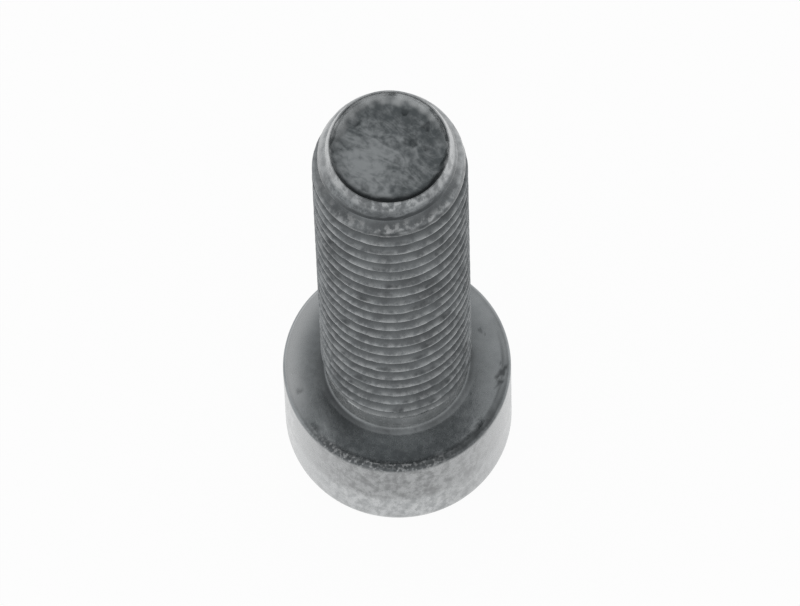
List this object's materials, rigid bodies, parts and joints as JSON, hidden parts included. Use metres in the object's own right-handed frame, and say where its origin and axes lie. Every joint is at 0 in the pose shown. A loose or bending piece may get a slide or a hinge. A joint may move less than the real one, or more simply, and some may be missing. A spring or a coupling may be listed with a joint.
{
  "type": "socket cap machine screw",
  "caption": "Fully threaded machine screw with a plain round cylinder head, a hexagon socket drive and a rolled, hollow end, standing on its head.",
  "frame": {"origin": "centre of the head's socket face, on which the screw stands", "axes": "+Z along the screw's axis, from the head to the threaded end; the socket's corners lie along X"},
  "size_m": [0.018, 0.018, 0.057],
  "materials": {
    "coated_steel": "dull grey phosphate coat, mottled, worn at the edges"
  },
  "bodies": {
    "root": {"cap_screw": "coated_steel"}
  },
  "joints": []
}
